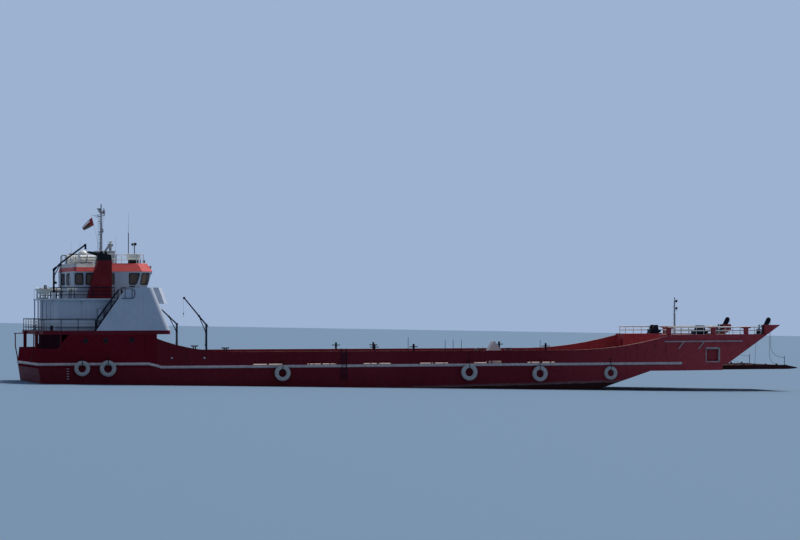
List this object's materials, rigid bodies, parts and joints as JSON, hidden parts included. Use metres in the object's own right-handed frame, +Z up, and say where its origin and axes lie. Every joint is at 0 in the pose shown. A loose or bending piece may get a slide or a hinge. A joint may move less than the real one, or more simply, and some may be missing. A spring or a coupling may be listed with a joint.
{
  "type": "bow-ramp landing craft, 1:2 scale model",
  "caption": "Half-size model of a steel landing craft: open cargo deck between bulwarks, stern house with wheelhouse and funnels, bow wings and a lowered hinged ramp.",
  "frame": {"origin": "on the plane of the flat bottom, on the centreline, midway between the aftmost and foremost points with the ramp lowered", "axes": "+X towards the bow and ramp, +Y to port, +Z up"},
  "size_m": [35.73, 7.486, 8.95],
  "materials": {
    "hull_red": "sun-dulled red ship paint",
    "deck_paint": "red-brown deck paint, worn",
    "fender_grey": "grey painted half-round bar",
    "house_white": "white house paint",
    "fascia_orange": "orange-red paint",
    "funnel_black": "sooty black paint",
    "davit_navy": "dark blue paint",
    "screw_bronze": "cast bronze",
    "window_glass": "tinted window glass",
    "fittings_white": "white enamel",
    "moulded_white": "glass-fibre gelcoat",
    "flag_cloth": "woven bunting"
  },
  "bodies": {
    "craft": {"hull": "hull_red", "poop": "hull_red", "deck_b": "deck_paint", "deck_c": "deck_paint", "house": "house_white", "screen": "house_white", "dodger": "house_white", "wheelhouse": "house_white", "glass_front": "window_glass", "glass_aft": "window_glass", "roof": "fascia_orange", "mast": "fittings_white", "foremast": "fittings_white", "roof_locker": "moulded_white", "dome": "moulded_white", "rescue_boat": "moulded_white", "vent_hood": "fittings_white", "flag": "flag_cloth", "rail_b": "fittings_white", "rail_c": "davit_navy", "rail_roof": "fittings_white", "bulwark_s": "hull_red", "bow_wing_s": "hull_red", "wing_fender_s": "fender_grey", "fender_line_s": "fender_grey", "funnel_s": "hull_red", "funnel_top_s": "funnel_black", "ladder_s": "davit_navy", "sheave_post_s": "davit_navy", "ramp_winch_s": "davit_navy", "wing_rail_s": "fittings_white", "bulwark_p": "hull_red", "bow_wing_p": "hull_red", "wing_fender_p": "fender_grey", "fender_line_p": "fender_grey", "funnel_p": "hull_red", "funnel_top_p": "funnel_black", "ladder_p": "davit_navy", "sheave_post_p": "davit_navy", "ramp_winch_p": "davit_navy", "wing_rail_p": "fittings_white"},
    "screw_s": {"screw_s": "screw_bronze"},
    "screw_p": {"screw_p": "screw_bronze"},
    "rudder_s": {"rudder_s": "hull_red"},
    "rudder_p": {"rudder_p": "hull_red"},
    "ramp": {"ramp": "deck_paint"},
    "cargo_davit_s": {"cargo_davit_s": "davit_navy"},
    "cargo_davit_p": {"cargo_davit_p": "davit_navy"},
    "boat_davit": {"boat_davit": "davit_navy"},
    "scanner": {"scanner": "moulded_white"},
    "wheel_door_s": {"wheel_door_s": "house_white"},
    "wheel_door_p": {"wheel_door_p": "house_white"},
    "poop_door_s": {"poop_door_s": "hull_red"},
    "poop_door_p": {"poop_door_p": "hull_red"}
  },
  "joints": [
    {"name": "screw_s_spin", "type": "hinge", "parent": "craft", "child": "screw_s", "pos_m": [-15.5305, -1.7, 0.44], "axis": [1, 0, 0], "continuous": true},
    {"name": "rudder_s_turn", "type": "hinge", "parent": "craft", "child": "rudder_s", "pos_m": [-16.115, -1.7, 0.44], "axis": [0, 0, 1], "range_deg": [-35, 35]},
    {"name": "cargo_davit_s_slew", "type": "hinge", "parent": "craft", "child": "cargo_davit_s", "pos_m": [-10.375, -3.36, 2.5], "axis": [0, 0, 1], "range_deg": [0, 150]},
    {"name": "wheel_door_s_hinge", "type": "hinge", "parent": "craft", "child": "wheel_door_s", "pos_m": [-13.978, -2.27, 5.2], "axis": [0, 0, 1], "range_deg": [0, 110]},
    {"name": "poop_door_s_hinge", "type": "hinge", "parent": "craft", "child": "poop_door_s", "pos_m": [-12.555, -2.188, 2.3], "axis": [0, 0, 1], "range_deg": [0, 100]},
    {"name": "screw_p_spin", "type": "hinge", "parent": "craft", "child": "screw_p", "pos_m": [-15.5305, 1.7, 0.44], "axis": [1, 0, 0], "continuous": true},
    {"name": "rudder_p_turn", "type": "hinge", "parent": "craft", "child": "rudder_p", "pos_m": [-16.115, 1.7, 0.44], "axis": [0, 0, 1], "range_deg": [-35, 35]},
    {"name": "cargo_davit_p_slew", "type": "hinge", "parent": "craft", "child": "cargo_davit_p", "pos_m": [-10.375, 3.36, 2.5], "axis": [0, 0, 1], "range_deg": [-150, 0]},
    {"name": "wheel_door_p_hinge", "type": "hinge", "parent": "craft", "child": "wheel_door_p", "pos_m": [-13.978, 2.27, 5.2], "axis": [0, 0, 1], "range_deg": [-110, 0]},
    {"name": "poop_door_p_hinge", "type": "hinge", "parent": "craft", "child": "poop_door_p", "pos_m": [-12.555, 2.188, 2.3], "axis": [0, 0, 1], "range_deg": [-100, 0]},
    {"name": "boat_davit_slew", "type": "hinge", "parent": "craft", "child": "boat_davit", "pos_m": [-16.925, -2.65, 5.5], "axis": [0, 0, 1], "range_deg": [-150, 0]},
    {"name": "scanner_spin", "type": "hinge", "parent": "craft", "child": "scanner", "pos_m": [-14.015, 0, 7.2], "axis": [0, 0, 1], "continuous": true},
    {"name": "ramp_hinge", "type": "hinge", "parent": "craft", "child": "ramp", "pos_m": [13.835, 0, 1.545], "axis": [0, -1, 0], "range_deg": [-10, 30]}
  ]
}
